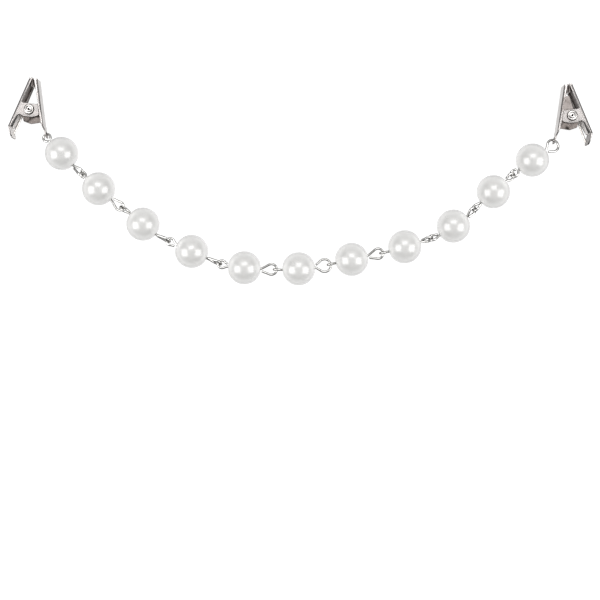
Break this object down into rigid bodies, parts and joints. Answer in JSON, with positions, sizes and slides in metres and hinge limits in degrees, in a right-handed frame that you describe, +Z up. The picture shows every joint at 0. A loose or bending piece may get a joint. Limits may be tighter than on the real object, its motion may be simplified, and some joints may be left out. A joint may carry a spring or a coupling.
{
  "type": "pair of waist clips joined by a pearl strand",
  "caption": "Two small sprung sheet-metal clips joined by a strand of round imitation pearls on linked wire eye pins, for taking in a waist.",
  "frame": {"origin": "centre of the strand's bounding box, on the surface it lies on", "axes": "+X from the left clip to the right clip, +Y towards the clips' jaws, +Z up from the surface"},
  "size_m": [0.1746, 0.0621, 0.01],
  "materials": {
    "pearl": "pearlescent coat, high gloss",
    "pin_wire": "bright nickel-coloured plating",
    "clip_sheet": "bright nickel plating over stamped sheet",
    "rivet": "bright nickel plating",
    "spring_wire": "plated spring wire"
  },
  "bodies": {
    "strand": {"pearl_01": "pearl", "pearl_02": "pearl", "pearl_03": "pearl", "pearl_04": "pearl", "pearl_05": "pearl", "pearl_06": "pearl", "pearl_07": "pearl", "pearl_08": "pearl", "pearl_09": "pearl", "pearl_10": "pearl", "pearl_11": "pearl", "pin_01": "pin_wire", "pin_02": "pin_wire", "pin_03": "pin_wire", "pin_04": "pin_wire", "pin_05": "pin_wire", "pin_06": "pin_wire", "pin_07": "pin_wire", "pin_08": "pin_wire", "pin_09": "pin_wire", "pin_10": "pin_wire", "pin_11": "pin_wire", "left_ring_lever": "clip_sheet", "left_rivet": "rivet", "left_spring": "spring_wire", "right_ring_lever": "clip_sheet", "right_rivet": "rivet", "right_spring": "spring_wire"},
    "left_finger": {"left_finger_lever": "clip_sheet"},
    "right_finger": {"right_finger_lever": "clip_sheet"}
  },
  "joints": [
    {"name": "left_clip_hinge", "type": "hinge", "parent": "strand", "child": "left_finger", "pos_m": [-0.08083, 0.02127, 0.004], "axis": [0, 0, 1], "range_deg": [0, 28], "stiffness_Nm_per_rad": 0.0001, "springref_deg": -28.65, "deforming": ["left_spring"]},
    {"name": "right_clip_hinge", "type": "hinge", "parent": "strand", "child": "right_finger", "pos_m": [0.08115, 0.01944, 0.004], "axis": [0, 0, -1], "range_deg": [0, 28], "stiffness_Nm_per_rad": 0.0001, "springref_deg": -28.65, "deforming": ["right_spring"]}
  ]
}
